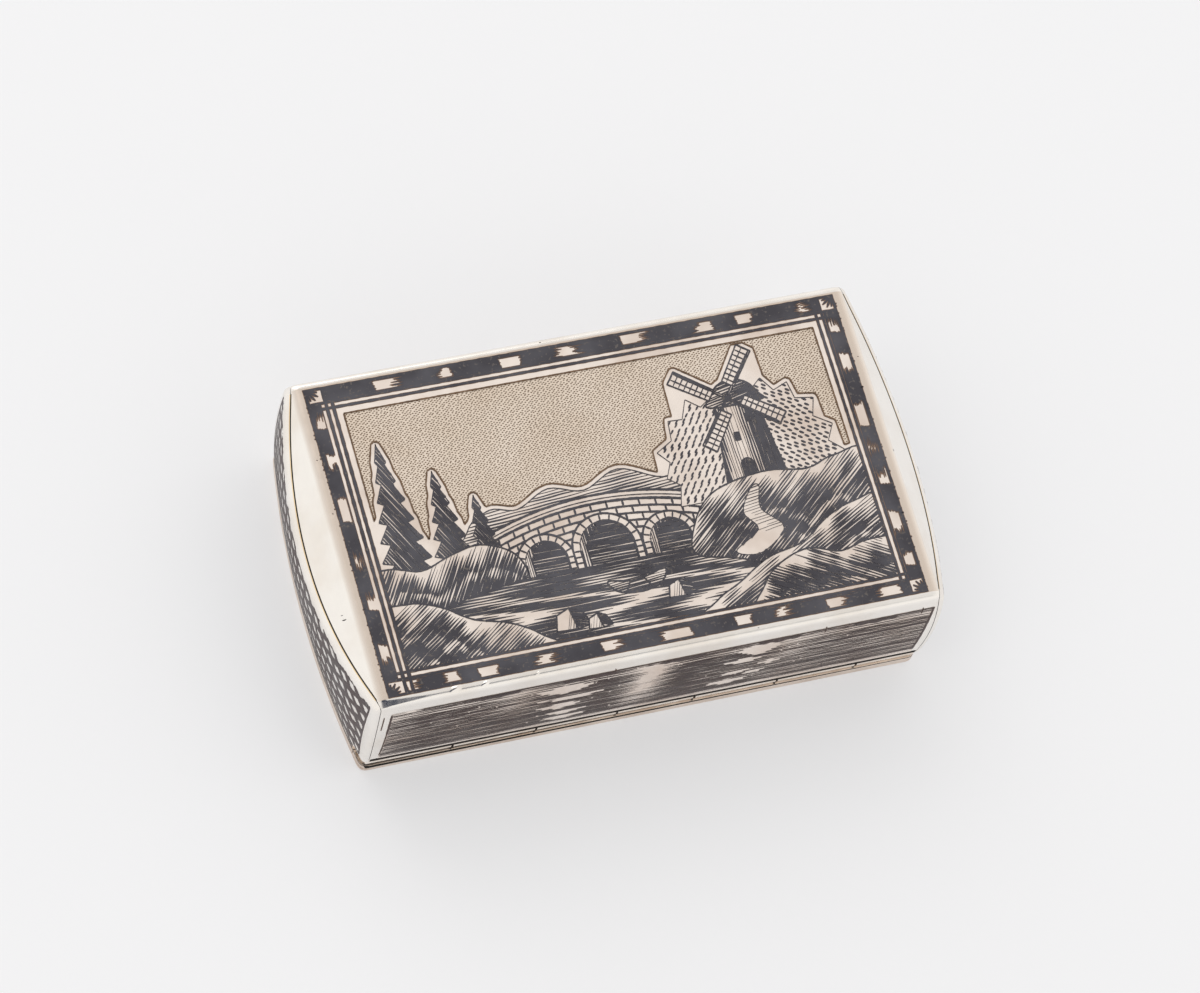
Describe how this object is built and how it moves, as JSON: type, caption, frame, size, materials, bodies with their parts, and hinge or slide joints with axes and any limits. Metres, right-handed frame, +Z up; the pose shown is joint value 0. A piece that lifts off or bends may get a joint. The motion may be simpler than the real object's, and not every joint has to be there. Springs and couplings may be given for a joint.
{
  "type": "snuff box",
  "caption": "Flat rectangular silver snuff box with bowed ends, sloped shoulders and a thin lid on a full-length concealed hinge, decorated with niello.",
  "frame": {"origin": "bottom centre of the bounding box: on the table, under the middle of the box as it lies on its lid", "axes": "+X along the box, +Y from the hinge towards the thumb-piece, +Z up from the lid to the picture face"},
  "size_m": [0.0818, 0.0472, 0.0217],
  "materials": {
    "silver_niello": "hand-polished silver inlaid with dark blue-grey niello, lightly worn",
    "silver": "hand-polished silver, lightly worn",
    "gilt": "silver with a thin fire-gilt layer"
  },
  "bodies": {
    "lid": {"lid_plate": "silver_niello", "lid_rim_left": "silver", "lid_rim_right": "silver", "lid_rim_back": "silver", "lid_hinge_bearer": "silver", "thumb_piece": "silver", "lid_knuckle_2": "silver", "lid_knuckle_4": "silver", "lid_knuckle_6": "silver"},
    "case": {"case_sheet": "silver_niello", "end_plate_left": "silver_niello", "end_plate_right": "silver_niello", "bezel_left": "gilt", "bezel_right": "gilt", "bezel_back": "gilt", "case_hinge_bearer": "gilt", "case_knuckle_1": "silver", "case_knuckle_3": "silver", "case_knuckle_5": "silver", "case_knuckle_7": "silver", "hinge_pin": "silver", "pin_plug_left": "silver", "pin_plug_right": "silver"}
  },
  "joints": [
    {"name": "lid_hinge", "type": "hinge", "parent": "lid", "child": "case", "pos_m": [0, -0.02179, 0.00288], "axis": [1, 0, 0], "range_deg": [0, 90]}
  ]
}
